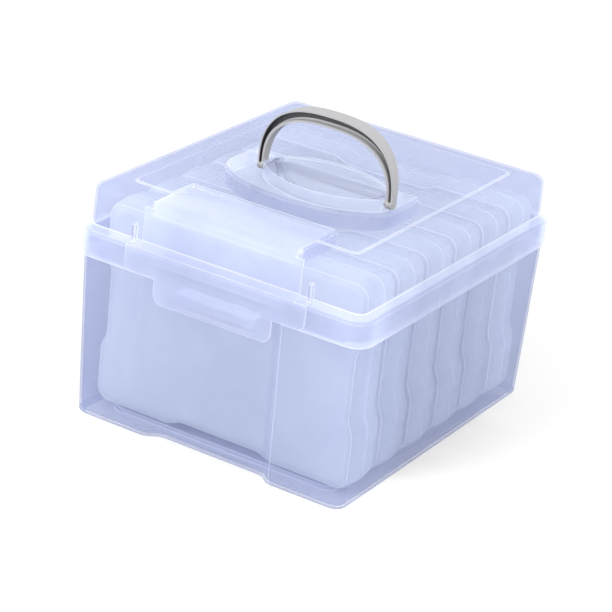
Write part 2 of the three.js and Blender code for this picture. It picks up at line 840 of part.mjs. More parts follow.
// The back tray, with two bored knuckles along its bottom
function innerBase() {
  const inside = innerHinge.lidWidth / 2 + gap.run;
  const outside = inside + innerHinge.baseWidth;
  const knuckles = [...innerKnuckle(inside, outside, -1), ...innerKnuckle(-outside, -inside, -1)];
  const boreHalf = inside + innerHinge.pinLength + gap.touch;
  const radius = innerHinge.pinRadius + gap.touch;
  const bore = barAlongX(radius, -boreHalf, boreHalf, -innerAxis, innerParting, facets.smallRound);
  return toGeometry(join([tray(), ...knuckles]).subtract(toSolid(bore)));
}

// The front tray, with the middle knuckle and its pins, and the snap tab over the back tray's top
function innerLid() {
  const half = innerHinge.lidWidth / 2;
  const reach = half + gap.run + innerHinge.pinLength;
  const { pinRadius } = innerHinge;
  const pin = barAlongX(pinRadius, -reach, reach, innerAxis, innerParting, facets.smallRound);
  const tabTop = innerWaistEdge + gap.touch + innerTab.thickness;
  const tabHalf = innerTab.width / 2;
  const tab = boxBetween(
    [-tabHalf, -tabTop, innerParting - innerTab.root],
    [tabHalf, -innerWaistEdge - gap.touch, innerParting + innerTab.lap],
  );
  const root = boxBetween(
    [-tabHalf, -tabTop, innerParting - innerTab.root],
    [tabHalf, -innerWaistEdge + innerSize.wall / 2, innerParting - gap.touch],
  );
  return toGeometry(join([tray(), ...innerKnuckle(-half, half, 1), pin, tab, root]));
}

// Materials

const clearPlastic = { color: 0xc9d3f2, roughness: 0.22, metalness: 0 };
const innerPlastic = { color: 0xd6dcf5, roughness: 0.3, metalness: 0 };
const greyPlastic = { color: 0xcdcfcc, roughness: 0.42, metalness: 0 };

function piece(name, geometry, finish) {
  const mesh = new THREE.Mesh(geometry, new THREE.MeshStandardMaterial(finish));
  mesh.name = name;
  return mesh;
}

const latchReach = overall.depth / 2 + gap.run + latchSize.plate;
const hingeReach = hingeY + hingeSize.earRadius;

const photoCase = new THREE.Group();
photoCase.position.y = (latchReach - hingeReach) / 2;
photoCase.add(piece('outer_base', outerBase(), clearPlastic));
photoCase.add(piece('outer_lid', outerLid(), clearPlastic));
photoCase.add(piece('front_latch', latch(), clearPlastic));
photoCase.add(piece('carry_handle', handle(), greyPlastic));

// Each picture case is a group about its own middle, with its lid towards the front
for (let i = 0; i < innerCount; i += 1) {
  const number = i + 1;
  const group = new THREE.Group();
  const middleY = rowFront + innerPitch * i + innerThickness / 2;
  group.position.set(0, middleY, innerBottom + innerHeight / 2);
  const base = piece(`inner_base_${number}`, innerBase(), innerPlastic);
  base.position.y = innerThickness / 2;
  base.rotation.x = Math.PI / 2;
  const lid = piece(`inner_lid_${number}`, innerLid(), innerPlastic);
  lid.position.y = -innerThickness / 2;
  lid.rotation.x = -Math.PI / 2;
  group.add(base, lid);
  photoCase.add(group);
}

export default photoCase;
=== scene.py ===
import math

import bmesh
import bpy
from mathutils import Matrix, Vector


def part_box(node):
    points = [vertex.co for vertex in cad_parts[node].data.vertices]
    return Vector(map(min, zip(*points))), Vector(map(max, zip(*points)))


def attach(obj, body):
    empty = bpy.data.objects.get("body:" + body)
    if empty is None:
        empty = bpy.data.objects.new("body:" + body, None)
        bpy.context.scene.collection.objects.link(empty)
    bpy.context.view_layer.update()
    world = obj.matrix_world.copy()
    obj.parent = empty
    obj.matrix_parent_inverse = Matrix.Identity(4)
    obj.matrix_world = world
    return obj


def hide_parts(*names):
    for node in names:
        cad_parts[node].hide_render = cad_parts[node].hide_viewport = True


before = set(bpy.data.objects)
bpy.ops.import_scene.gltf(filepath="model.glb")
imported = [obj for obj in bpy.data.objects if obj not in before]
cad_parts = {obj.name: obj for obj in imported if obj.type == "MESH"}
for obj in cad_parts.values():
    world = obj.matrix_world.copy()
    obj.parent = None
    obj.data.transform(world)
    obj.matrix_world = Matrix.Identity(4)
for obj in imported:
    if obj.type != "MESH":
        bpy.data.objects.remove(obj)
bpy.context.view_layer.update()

# A clear carrying case that holds six slim picture cases on edge.
# The shapes are drawn in millimetres about the middle of the lid's skirt, and each finished piece
# is brought to metres and moved along Y to its place in the frame. The frame's boxes give the
# sizes and places that they can, and the rest are the real sizes named here. Pins, barrels,
# bosses and knuckles are given by their radius.

MM = 0.001


def frame_box(name):
    low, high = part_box(name)
    return low / MM, high / MM


# Clearances: touch is left between resting faces, and run between faces that slide or turn.
# The overrun is how far a cutter reaches past what it cuts.
TOUCH = 0.3
RUN = 0.4
OVERRUN = 3.0

# The lid: a skirt, a shelf above it, drafted walls, and a low raised panel on top
lid_low, lid_high = frame_box("outer_lid")
WIDTH = lid_high.x - lid_low.x
DEPTH = 245.7
CORNER = 12.5
LID_HEIGHT = 48.0
LID_WALL = 1.5
SKIRT_HEIGHT = 15.7
SKIRT_WALL = 1.2
SHELF_INSET = 5.5
SHELF_RISE = 4.5
SHELF_LIP_INSET = 1.4
SHELF_LIP_RISE = 2.2
LID_DRAFT = 0.6
LID_EDGE = 6.7
PANEL_SIDE = 24.0
PANEL_END = 24.35
PANEL_RISE = 1.0
PANEL_SLOPE = 0.8
PANEL_CORNER = 5.0

# The notch for the latch, the cut in the skirt and the ribs beside the latch
NOTCH_WIDTH = 104.0
NOTCH_BACK = 75.6
NOTCH_DEPTH = 9.0
CUT_WIDTH = 99.0
CUT_HEIGHT = 9.6
RIB_BESIDE_LATCH = 5.5
RIB_WIDTH = 2.8
RIB_STAND = 2.6
RIB_HEIGHT = 10.0

# The well that the folded handle lies in, and the island that carries its pivots
WELL_SIDE_ROOM = 10.0
WELL_FRONT_ROOM = 4.0
WELL_BACK = 10.0
WELL_SIDE = 19.0
WELL_DEPTH = 9.4
ISLAND_HALF_DEPTH = 25.5
ISLAND_END_HALF = 5.0
ISLAND_CLEARANCE = 1.2
ISLAND_DISH = 1.6

# The tub
TUB_WALL = 1.6
TUB_FLOOR = 1.8
TUB_SETBACK = 1.9
TUB_DRAFT = 3.35
TUB_EDGE = 3.2
TUB_CORNER = 8.0
RIM_INSET = 1.1
RIM_STEP_RISE = 1.6
FLOOR_BEYOND_PANEL = 1.5
FLOOR_RISE = 2.5
FLOOR_SLOPE = 1.0

# The hollow down the tub's front and the ledge across it
HOLLOW_WIDTH = 98.0
HOLLOW_FLOOR = 71.0
HOLLOW_DEPTH = 8.8
HOLLOW_WALL_SHARE = 0.3
CATCH_WIDTH = 56.6
CATCH_BELOW_SKIRT = 3.4
CATCH_HEIGHT = 7.0
CATCH_PLATE = 1.8
CATCH_BEHIND_SKIRT = 1.4

# The latch: a bent plate with wings and a tongue, and the bead that holds under the ledge
PLATE = 1.5
SHOULDER_REACH = 5.5
SHOULDER_DROP = 4.4
WING_REACH = 8.5
WING_ABOVE_SKIRT = 1.1
WING_CORNER = 5.0
TONGUE_WIDTH = 86.5
TONGUE_BELOW_CATCH = 4.2
TONGUE_CORNER = 6.5
BEND_BEYOND_EDGE = 0.8
LATCH_SUNK = 0.2
BARREL = 3.2
LATCH_PIN = 1.6
LATCH_PIN_LENGTH = 1.6
BEAD_WIDTH = 52.0
BEAD_HEIGHT = 2.0
BEAD_STAND = 1.2
BEAD_BELOW_CATCH = 0.7

# The handle: an arched channel, open to the front, with a groove under its outer flange that is
# painted near black as the shade there.
# It is deeper at its crown than at its feet, and its crown leans back.
HANDLE_HALF = 50.5
HANDLE_RISE = 46.5
HANDLE_FOOT = 4.2
HANDLE_CROWN = 8.0
HANDLE_FRONT = -6.0
HANDLE_DEPTH = 10.0
HANDLE_FLANGE = 1.3
HANDLE_FLOOR = 6.0
HANDLE_LIFT = 1.5
HANDLE_PIN = 2.2
HANDLE_PIN_LENGTH = 3.2
CROWN_DEPTH_SHARE = 1.2
FOOT_DEPTH_SHARE = 0.6
CROWN_BACK = 1.0
HANDLE_BOSS = 3.6
HANDLE_FULLNESS = 2.6
HANDLE_GROOVE = 1.5
HANDLE_GROOVE_CROWN = 4.2
HANDLE_GROOVE_DEPTH = 0.5

# The lid's hinges
HINGE_PLACES = (-60.0, 60.0)
HINGE_PIN = 1.8
KNUCKLE = 3.9
KNUCKLE_WIDTH = 22.0
EAR = 2.6
EAR_RADIUS = 4.2
HINGE_BEHIND = 4.2
HINGE_BELOW = 4.6

# The picture cases: two trays each, hinged at the waist of the lower edge, with a snap tab above
case_low, case_high = frame_box("inner_base_1")
case_lid_low, _ = frame_box("inner_lid_1")
_, second_case_high = frame_box("inner_base_2")
CASE_COUNT = 6
CASE_WALL = 1.2
CASE_CORNER = 11.0
CASE_DRAFT = 0.8
FACE_INSET = 5.2
FACE_RISE = 1.4
SHOULDER_INSET = 1.8
SHOULDER_RISE = 5.0
WAIST_SLOPE = 13.0
LONG_WAIST = 82.0
SHORT_WAIST = 66.0
CASE_HINGE = 1.8
CASE_LID_KNUCKLE = 27.0
CASE_BASE_KNUCKLE = 10.0
CASE_PIN = 0.9
CASE_PIN_LENGTH = 5.0
CASE_ARM = 1.4
TAB_WIDTH = 24.0
TAB_THICKNESS = 1.3
TAB_LAP = 5.0
TAB_ROOT = 3.0

# How finely the round shapes are divided, and the angles that they share
CORNER_STEPS = 12
HOLLOW_STEPS = 20
WAIST_STEPS = 8
EDGE_STEPS = 8
ROUND_STEPS = 32
ARCH_STEPS = 72
LENS_STEPS = 40
QUARTER_TURN = math.pi / 2
EDGE_ANGLES = [i / EDGE_STEPS * QUARTER_TURN for i in range(EDGE_STEPS + 1)]

# Sizes worked out from those above
SHIFT_Y = lid_low.y + DEPTH / 2
HEIGHT = lid_high.z - PANEL_RISE
SKIRT_BOTTOM = HEIGHT - LID_HEIGHT
SKIRT_TOP = SKIRT_BOTTOM + SKIRT_HEIGHT
LID_FRONT = -DEPTH / 2
LID_WALL_INSET = SHELF_INSET + LID_DRAFT
SHELF_TOP = SKIRT_TOP + SHELF_RISE
CEILING = HEIGHT - LID_WALL
PANEL_TOP = HEIGHT + PANEL_RISE
UNDER_INSET = SHELF_INSET + LID_WALL
UNDER_TOP = SHELF_TOP - LID_WALL / 2
UNDER_LIP_INSET = SKIRT_WALL + SHELF_LIP_INSET
UNDER_LIP_TOP = SKIRT_TOP + SHELF_LIP_RISE - LID_WALL
RIM_SHARE = (TUB_SETBACK + RIM_INSET - UNDER_LIP_INSET) / (UNDER_INSET - UNDER_LIP_INSET)
RIM_TOP = UNDER_LIP_TOP + RIM_SHARE * (UNDER_TOP - UNDER_LIP_TOP) - TOUCH
RIM_STEP = SKIRT_BOTTOM + RIM_STEP_RISE
NOTCH_FLOOR = HEIGHT - NOTCH_DEPTH
WELL_BOTTOM = HEIGHT - WELL_DEPTH
ISLAND_TOP = PANEL_TOP - ISLAND_DISH
HINGE_Y = DEPTH / 2 + HINGE_BEHIND
HINGE_Z = SKIRT_BOTTOM - HINGE_BELOW
LATCH_SWING = BARREL + PLATE / 2
LATCH_Y = -(NOTCH_BACK + RUN + LATCH_SWING)
LATCH_TOP = HEIGHT - LATCH_SUNK
LATCH_Z = LATCH_TOP - LATCH_SWING
SHOULDER_HALF = NOTCH_WIDTH / 2 + SHOULDER_REACH
WING_HALF = SHOULDER_HALF + WING_REACH
CATCH_TOP = SKIRT_BOTTOM - CATCH_BELOW_SKIRT
CATCH_BOTTOM = CATCH_TOP - CATCH_HEIGHT
TONGUE_BOTTOM = CATCH_BOTTOM - TONGUE_BELOW_CATCH
HANDLE_PIVOT = HANDLE_DEPTH / 2
HANDLE_Y = HANDLE_FRONT + HANDLE_PIVOT
HANDLE_Z = WELL_BOTTOM + RUN + HANDLE_PIVOT
HANDLE_INNER = HANDLE_HALF - HANDLE_FOOT
WELL_HALF = HANDLE_HALF + WELL_SIDE_ROOM
WELL_FRONT = HANDLE_RISE - HANDLE_Y + WELL_FRONT_ROOM
INNER_FLOOR = TUB_FLOOR + FLOOR_RISE
CASE_WIDTH = case_high.x - case_low.x
CASE_HEIGHT = case_high.z - case_low.z
CASE_THICKNESS = case_high.y - case_lid_low.y
CASE_PITCH = second_case_high.y - case_high.y
CASE_MIDDLE_Y = (case_high.y + case_lid_low.y) / 2 - SHIFT_Y
CASE_MIDDLE_Z = (case_high.z + case_low.z) / 2
PARTING = CASE_THICKNESS / 2
WAIST_DEPTH = 2 * CASE_HINGE + TOUCH
WAIST_EDGE = CASE_HEIGHT / 2 - WAIST_DEPTH
CASE_AXIS = WAIST_EDGE + TOUCH + CASE_HINGE

# Material slots of a piece: its body, its edges with a painted highlight, and two more where it has
# them, the first of which holds a paler colour with painted highlights on the lid and the tub, and
# painted shade on the handle.
# A rounded edge can also take the slot of the faces beside it.
BODY, EDGE, OTHER, FOOT = SLOTS = range(4)
AS_BESIDE = -1

# Building blocks


def smooth(share):
    return share * share * (3 - 2 * share)


def mix(a, b, share):
    return a + (b - a) * share


def arc(centre, radius, start, end, steps):
    """Points on an arc, both ends included. A pair of radii makes it an ellipse's."""
    across, up = radius if isinstance(radius, tuple) else (radius, radius)
    angles = [mix(start, end, i / steps) for i in range(steps + 1)]
    return [(centre[0] + across * math.cos(a), centre[1] + up * math.sin(a)) for a in angles]


def front_hollow(half_y, outer_half, floor_half, depth):
    """The soft-sided hollow in the middle of a front side at -half_y."""
    shares = [i / HOLLOW_STEPS for i in range(HOLLOW_STEPS + 1)]
    left = [(-mix(outer_half, floor_half, s), -half_y + depth * smooth(s)) for s in shares]
    return left + [(-x, y) for x, y in reversed(left)]


def waist_side(width, half):
    """A shallow waist with soft ends in a side at -half."""
    shares = [i / WAIST_STEPS for i in range(WAIST_STEPS + 1)]
    left = [(WAIST_SLOPE * s - width / 2, WAIST_DEPTH * smooth(s) - half) for s in shares]
    return left + [(-x, y) for x, y in reversed(left)]


def rounded(half_x, half_y, radius, sides=((), (), (), ())):
    """A rounded rectangle, anticlockwise, with extra points along its front, right, back and left."""
    x, y = half_x - radius, half_y - radius
    corners = [((x, -y), -QUARTER_TURN), ((x, y), 0), ((-x, y), QUARTER_TURN), ((-x, -y), math.pi)]
    points = []
    for side, (centre, start) in zip(sides, corners):
        points += list(side) + arc(centre, radius, start, start + QUARTER_TURN, CORNER_STEPS)
    return points


def with_slots(piece, count):
    """Gives a piece this many material slots, so that it keeps those of the pieces that cut it."""
    while len(piece.data.materials) < count:
        piece.data.materials.append(None)
    return piece


def turned_outward(mesh):
    """Turns the faces of a closed mesh outward."""
    work = bmesh.new()
    work.from_mesh(mesh)
    bmesh.ops.recalc_face_normals(work, faces=work.faces)
    work.to_mesh(mesh)
    work.free()


def made(name, verts, faces, slots):
    """An object of a closed mesh, with the material slot of each face."""
    mesh = bpy.data.meshes.new(name)
    mesh.from_pydata(verts, [], faces)
    piece = with_slots(bpy.data.objects.new(name, mesh), max(slots) + 1)
    for polygon, slot in zip(mesh.polygons, slots):
        polygon.material_index = slot
    turned_outward(mesh)
    bpy.context.scene.collection.objects.link(piece)
    return piece


def skinned(name, rings, slot_of=lambda band, column: BODY):
    """A closed skin through rings of equally many points in space."""
    count = len(rings[0])
    verts = [point for ring in rings for point in ring]
    faces = [tuple(range(count))]
    for ring in range(len(rings) - 1):
        for i in range(count):
            a = ring * count + i
            b = ring * count + (i + 1) % count
            faces.append((a, b, b + count, a + count))
    last = count * (len(rings) - 1)
    faces.append(tuple(range(last, last + count)))
    slots = [slot_of(band, i) for band in range(len(rings) - 1) for i in range(count)]
    return made(name, verts, faces, [BODY, *slots, BODY])


def loft(name, rings, slot_of=lambda band, column: BODY):
    """A closed skin through level rings, each a pair of points and height."""
    return skinned(name, [[(x, y, z) for x, y in points] for points, z in rings], slot_of)


def block(low, high):
    """A box from its lowest corner to its highest."""
    (x0, y0, z0), (x1, y1, z1) = low, high
    return loft("block", [([(x0, y0), (x1, y0), (x1, y1), (x0, y1)], z) for z in (z0, z1)])


def prism(points, low, high, axis):
    """An outline pushed along an axis. The outline holds the two other coordinates in order."""
    piece = loft("prism", [(points, low), (points, high)])
    order = {"x": (2, 0, 1), "y": (0, 2, 1), "z": (0, 1, 2)}[axis]
    for vert in piece.data.vertices:
        vert.co = Vector([vert.co[i] for i in order])
    turned_outward(piece.data)
    return piece


def bar(radius, low, high, y, z):
    """A round bar along X."""
    return prism(arc((y, z), radius, 0, 2 * math.pi, ROUND_STEPS)[:-1], low, high, "x")


def marked(piece, slot):
    """Gives all faces of a piece one material slot, which they keep when it is joined or cut."""
    piece.data.materials.clear()
    with_slots(piece, slot + 1)
    for polygon in piece.data.polygons:
        polygon.material_index = slot
    return piece


def settled(piece):
    """Puts the modifiers' result into the piece's own mesh."""
    bpy.context.view_layer.update()
    graph = bpy.context.evaluated_depsgraph_get()
    result = bpy.data.meshes.new_from_object(piece.evaluated_get(graph))
    piece.modifiers.clear()
    old = piece.data
    piece.data = result
    bpy.data.meshes.remove(old)
    return piece


def combined(piece, others, operation):
    """Joins others to a piece or cuts it by them, and uses them up."""
    for other in others:
        modifier = piece.modifiers.new(operation, "BOOLEAN")
        modifier.operation = operation
        modifier.solver = "EXACT"
        modifier.object = other
    settled(piece)
    for other in others:
        bpy.data.objects.remove(other)
    return piece


def join(piece, others):
    return combined(piece, others, "UNION")


def cut(piece, others):
    return combined(piece, others, "DIFFERENCE")


# The lid

# Bands of the lid's skin, counted from the panel's slope outward, down and back inside
PANEL_SLOPE_BAND = 0
SHELF_BAND = PANEL_SLOPE_BAND + EDGE_STEPS + 3
SKIRT_FOOT_BAND = SHELF_BAND + 3
SHELF_UNDER_BAND = SHELF_BAND + 6


def lid_slot(band, column):
    """The skirt's foot takes the painted edge highlight, and the panel's slope, the shelf and the
    skirt take a paler colour, which is a painted highlight on the slope and the shelf.
    """
    if band == SKIRT_FOOT_BAND:
        return EDGE
    return OTHER if band == PANEL_SLOPE_BAND or SHELF_BAND <= band <= SHELF_UNDER_BAND else BODY


def lid_ring(z, inset):
    radius = max(CORNER - inset, PANEL_CORNER)
    return rounded(WIDTH / 2 - inset, DEPTH / 2 - inset, radius), z


def panel_ring(z, inset):
    half_x = WIDTH / 2 - PANEL_SIDE - inset
    half_y = DEPTH / 2 - PANEL_END - inset
    return rounded(half_x, half_y, PANEL_CORNER), z


def top_edge(inset, top, radius):
    """The rounded top edge, from the wall to the flat margin."""
    return [lid_ring(top - radius * (1 - math.sin(a)), inset + radius * (1 - math.cos(a)))
            for a in EDGE_ANGLES]


def well_outline(grow):
    """Straight at the back, and round to the front."""
    half = WELL_HALF + grow
    rise = WELL_FRONT - WELL_SIDE + grow
    sweep = arc((0, -WELL_SIDE), (half, rise), math.pi, 2 * math.pi, LENS_STEPS)
    return [(half, WELL_BACK + grow), (-half, WELL_BACK + grow)] + sweep


def island_outline(shrink):
    """Two arcs that meet flat ends."""
    half = HANDLE_INNER - ISLAND_CLEARANCE - shrink
    side = ISLAND_HALF_DEPTH - shrink
    sag = side - (ISLAND_END_HALF - shrink)
    radius = (half * half + sag * sag) / (2 * sag)
    sweep = math.asin(half / radius)
    front = arc((0, HANDLE_Y - side + radius), radius,
                -QUARTER_TURN - sweep, -QUARTER_TURN + sweep, LENS_STEPS)
    back = arc((0, HANDLE_Y + side - radius), radius,
               QUARTER_TURN - sweep, QUARTER_TURN + sweep, LENS_STEPS)
    return front + back


def guide_ribs():
    """The small upright ribs on the shelf, one on each side of the latch."""
    root = LID_FRONT + LID_WALL_INSET + LID_WALL / 2
    face = LID_FRONT + SHELF_INSET - RIB_STAND
    near = SHOULDER_HALF + RIB_BESIDE_LATCH
    far = near + RIB_WIDTH
    low, high = SKIRT_TOP + LID_WALL, SHELF_TOP + RIB_HEIGHT
    return [block((x, face, low), (x + RIB_WIDTH, root, high)) for x in (-far, near)]


def lid_knuckle(place):
    """A bored knuckle behind the skirt, with the arm and the web that carry it."""
    low, high = place - KNUCKLE_WIDTH / 2, place + KNUCKLE_WIDTH / 2
    root = DEPTH / 2 - SKIRT_WALL / 2
    back = HINGE_Y + KNUCKLE - LID_WALL
    top = SKIRT_BOTTOM + SKIRT_HEIGHT / 2
    knuckle = bar(KNUCKLE, low, high, HINGE_Y, HINGE_Z)
    arm = block((low, root, SKIRT_BOTTOM), (high, back, top))
    web = block((low, HINGE_Y, HINGE_Z), (high, back, SKIRT_BOTTOM))
    bore = bar(HINGE_PIN + TOUCH, low - OVERRUN, high + OVERRUN, HINGE_Y, HINGE_Z)
    return cut(join(knuckle, [arm, web]), [bore])


def lid_shell():
    """One skin, from the panel's top out over the shelf, down the skirt, and back up inside."""
    outside = [
        lid_ring(SKIRT_BOTTOM, 0),
        lid_ring(SKIRT_TOP, 0),
        lid_ring(SKIRT_TOP + SHELF_LIP_RISE, SHELF_LIP_INSET),
        lid_ring(SHELF_TOP, SHELF_INSET),
        *top_edge(LID_WALL_INSET, HEIGHT, LID_EDGE),
        panel_ring(HEIGHT, 0),
        panel_ring(PANEL_TOP, PANEL_SLOPE),
    ]
    inside = [
        lid_ring(SKIRT_BOTTOM, SKIRT_WALL),
        lid_ring(SKIRT_TOP - LID_WALL / 2, SKIRT_WALL),
        lid_ring(UNDER_LIP_TOP, UNDER_LIP_INSET),
        lid_ring(UNDER_TOP, UNDER_INSET),
        *top_edge(LID_WALL_INSET + LID_WALL, CEILING, LID_EDGE - LID_WALL),
    ]
    return loft("lid", outside[::-1] + inside, lid_slot)


def sunken_blocks():
    """The walls and floors of the notch and the well, as blocks that are hollowed later."""
    half = NOTCH_WIDTH / 2 + LID_WALL
    front = LID_FRONT + LID_WALL_INSET + LID_WALL / 2
    under = CEILING + LID_WALL / 2
    notch = block((-half, front, NOTCH_FLOOR - LID_WALL), (half, LID_WALL - NOTCH_BACK, under))
    well = prism(well_outline(LID_WALL), WELL_BOTTOM - LID_WALL, under, "z")
    return [marked(notch, OTHER), marked(well, OTHER)]


def lid_cutters():
    """What hollows the well, the notch, the island, the skirt's front and the pin holes."""
    half = NOTCH_WIDTH / 2
    above = PANEL_TOP + OVERRUN
    well = marked(prism(well_outline(0), WELL_BOTTOM, above, "z"), OTHER)
    cut(well, [marked(prism(island_outline(0), WELL_BOTTOM - OVERRUN, ISLAND_TOP, "z"), OTHER)])
    notch = block((-half, LID_FRONT - OVERRUN, NOTCH_FLOOR), (half, -NOTCH_BACK, above))
    skirt_cut = block((-CUT_WIDTH / 2, LID_FRONT - OVERRUN, SKIRT_BOTTOM - OVERRUN),
                      (CUT_WIDTH / 2, LID_FRONT + SKIRT_WALL + TOUCH, SKIRT_BOTTOM + CUT_HEIGHT))
    latch_half = half + LID_WALL + OVERRUN
    handle_half = HANDLE_INNER + OVERRUN
    return [
        well,
        marked(notch, OTHER),
        marked(prism(island_outline(0), ISLAND_TOP, above, "z"), OTHER),
        prism(island_outline(LID_WALL), WELL_BOTTOM - LID_WALL - OVERRUN, ISLAND_TOP - LID_WALL, "z"),
        skirt_cut,
        bar(LATCH_PIN + TOUCH, -latch_half, latch_half, LATCH_Y, LATCH_Z),
        bar(HANDLE_PIN + TOUCH, -handle_half, handle_half, HANDLE_Y, HANDLE_Z),
    ]


def lid():
    shell = join(lid_shell(), sunken_blocks() + guide_ribs())
    cut(shell, lid_cutters())
    return join(shell, [lid_knuckle(place) for place in HINGE_PLACES])


# The tub

# Bands of the tub's skin, counted from under its raised floor outward, up and back inside
TUB_FOOT_BAND = 1
TUB_WALL_BAND = TUB_FOOT_BAND + EDGE_STEPS + 1
TUB_RIM_BAND = TUB_WALL_BAND + 3


def tub_ring(z, inset, extra=0.0):
    """A ring of the drafted wall. The inset leads to its inside, and the extra moves it further in."""
    fall = TUB_DRAFT * (1 - z / SKIRT_BOTTOM)
    total = TUB_SETBACK + max(fall, 0) + inset + extra
    share = min(max(z / SKIRT_BOTTOM, 0), 1)
    corner = mix(TUB_CORNER, CORNER - TUB_SETBACK, share)
    widen = HOLLOW_WALL_SHARE * inset
    half_y = DEPTH / 2 - total
    outer_half, floor_half = HOLLOW_WIDTH / 2 + widen, HOLLOW_FLOOR / 2 + widen
    hollow = front_hollow(half_y, outer_half, floor_half, HOLLOW_DEPTH - extra)
    return rounded(WIDTH / 2 - total, half_y, corner - inset, (hollow, (), (), ())), z


def floor_ring(z, inset):
    half_x = WIDTH / 2 - PANEL_SIDE + FLOOR_BEYOND_PANEL - inset
    half_y = DEPTH / 2 - PANEL_END + FLOOR_BEYOND_PANEL - inset
    hollow = front_hollow(half_y, HOLLOW_WIDTH / 2, HOLLOW_FLOOR / 2, 0)
    return rounded(half_x, half_y, TUB_CORNER, (hollow, (), (), ())), z


def bottom_edge(inset, floor, radius):
    """The tub's rounded bottom edge, from the floor to the wall."""
    return [tub_ring(floor + radius * (1 - math.cos(a)), inset, radius * (1 - math.sin(a)))
            for a in EDGE_ANGLES]


def tub_hinge(place):
    """A pair of ears and the pin between them."""
    inside = KNUCKLE_WIDTH / 2 + RUN
    root = DEPTH / 2 - TUB_SETBACK - TUB_WALL / 2
    foot = HINGE_Z - EAR_RADIUS
    section = [
        (root, foot - HINGE_BEHIND),
        (HINGE_Y, foot),
        *arc((HINGE_Y, HINGE_Z), EAR_RADIUS, -QUARTER_TURN, QUARTER_TURN, ROUND_STEPS)[1:-1],
        (HINGE_Y, HINGE_Z + EAR_RADIUS),
        (HINGE_Y, HINGE_Z + HINGE_PIN),
        (root, HINGE_Z + HINGE_PIN),
    ]
    pieces = [bar(HINGE_PIN, place - inside - EAR, place + inside + EAR, HINGE_Y, HINGE_Z)]
    for low in (place - inside - EAR, place + inside):
        pieces.append(prism(section, low, low + EAR, "x"))
    return pieces


def tub_slot(band, column):
    """The rim's top face and the hollow's right edge take a paler colour as a painted highlight, and
    the foot is denser.
    """
    hollow_edge_highlight = column == 2 * HOLLOW_STEPS and TUB_FOOT_BAND < band <= TUB_WALL_BAND
    if band == TUB_RIM_BAND or hollow_edge_highlight:
        return OTHER
    return FOOT if TUB_FOOT_BAND <= band < TUB_WALL_BAND else BODY


def tub_shell():
    """One skin, from under the raised floor out, up the wall, over the rim, and down inside."""
    return loft("tub", [
        floor_ring(FLOOR_RISE, FLOOR_SLOPE),
        floor_ring(0, 0),
        *bottom_edge(0, 0, TUB_EDGE),
        tub_ring(SKIRT_BOTTOM, 0),
        tub_ring(RIM_STEP, 0, RIM_INSET),
        tub_ring(RIM_TOP, 0, RIM_INSET),
        tub_ring(RIM_TOP, TUB_WALL, RIM_INSET),
        tub_ring(RIM_STEP, TUB_WALL, RIM_INSET),
        tub_ring(SKIRT_BOTTOM, TUB_WALL),
        *bottom_edge(TUB_WALL, TUB_FLOOR, TUB_EDGE - TUB_WALL / 2)[::-1],
        floor_ring(TUB_FLOOR, -TUB_FLOOR / 2),
        floor_ring(INNER_FLOOR, FLOOR_SLOPE - TUB_FLOOR / 2),
    ], tub_slot)


def catch():
    """The ledge across the front hollow, with a lip that hangs from its front edge."""
    half = CATCH_WIDTH / 2
    face = LID_FRONT + CATCH_BEHIND_SKIRT
    root = LID_FRONT + TUB_SETBACK + HOLLOW_DEPTH + TUB_WALL / 2
    ledge = block((-half, face, CATCH_TOP - CATCH_PLATE), (half, root, CATCH_TOP))
    lip = block((-half, face, CATCH_BOTTOM), (half, face + CATCH_PLATE, CATCH_TOP))
    # The ledge and the lip take the paler colour, painted for the light that passes through them.
    return [marked(ledge, OTHER), marked(lip, OTHER)]


def tub():
    parts = catch()
    for place in HINGE_PLACES:
        parts += tub_hinge(place)
    return join(tub_shell(), parts)


# The latch


def latch_section():
    """Flat over the notch, bent down the lid's front, out over the shelf, and down the skirt."""
    bend = LID_EDGE + BEND_BEYOND_EDGE
    wall = LID_FRONT + SHELF_INSET - RUN
    skirt = LID_FRONT - RUN
    bottom = TONGUE_BOTTOM - OVERRUN
    shelf = SHELF_TOP + RUN
    lip = SKIRT_TOP + SHELF_LIP_RISE / 2
    centre = (wall - PLATE + bend, LATCH_TOP - bend)
    return [
        (LATCH_Y, LATCH_TOP),
        *arc(centre, bend, QUARTER_TURN, math.pi, EDGE_STEPS),
        (wall - PLATE, shelf + PLATE / 2),
        (skirt - PLATE, lip + PLATE),
        (skirt - PLATE, bottom),
        (skirt, bottom),
        (skirt, lip + PLATE / 2),
        (wall, shelf),
        *arc(centre, bend - PLATE, math.pi, QUARTER_TURN, EDGE_STEPS),
        (LATCH_Y, LATCH_TOP - PLATE),
    ]


def latch_outline():
    """The right half of the plate's outline from the front, then the left half as its mirror."""
    tongue = TONGUE_WIDTH / 2
    neck = NOTCH_WIDTH / 2 - RUN
    wing_bottom = SKIRT_BOTTOM + WING_ABOVE_SKIRT
    wing_top = SKIRT_TOP + SHELF_LIP_RISE
    shoulder_top = HEIGHT - SHOULDER_DROP
    tongue_turn = (tongue - TONGUE_CORNER, TONGUE_BOTTOM + TONGUE_CORNER)
    wing_turn = (WING_HALF - WING_CORNER, wing_bottom + WING_CORNER)
    half = [
        *arc(tongue_turn, TONGUE_CORNER, -QUARTER_TURN, 0, EDGE_STEPS),
        (tongue, wing_bottom),
        *arc(wing_turn, WING_CORNER, -QUARTER_TURN, 0, EDGE_STEPS),
        (WING_HALF, wing_top),
        (SHOULDER_HALF, wing_top),
        (SHOULDER_HALF, shoulder_top),
        (neck, shoulder_top),
        (neck, PANEL_TOP + OVERRUN),
    ]
    return half + [(-x, z) for x, z in reversed(half)]


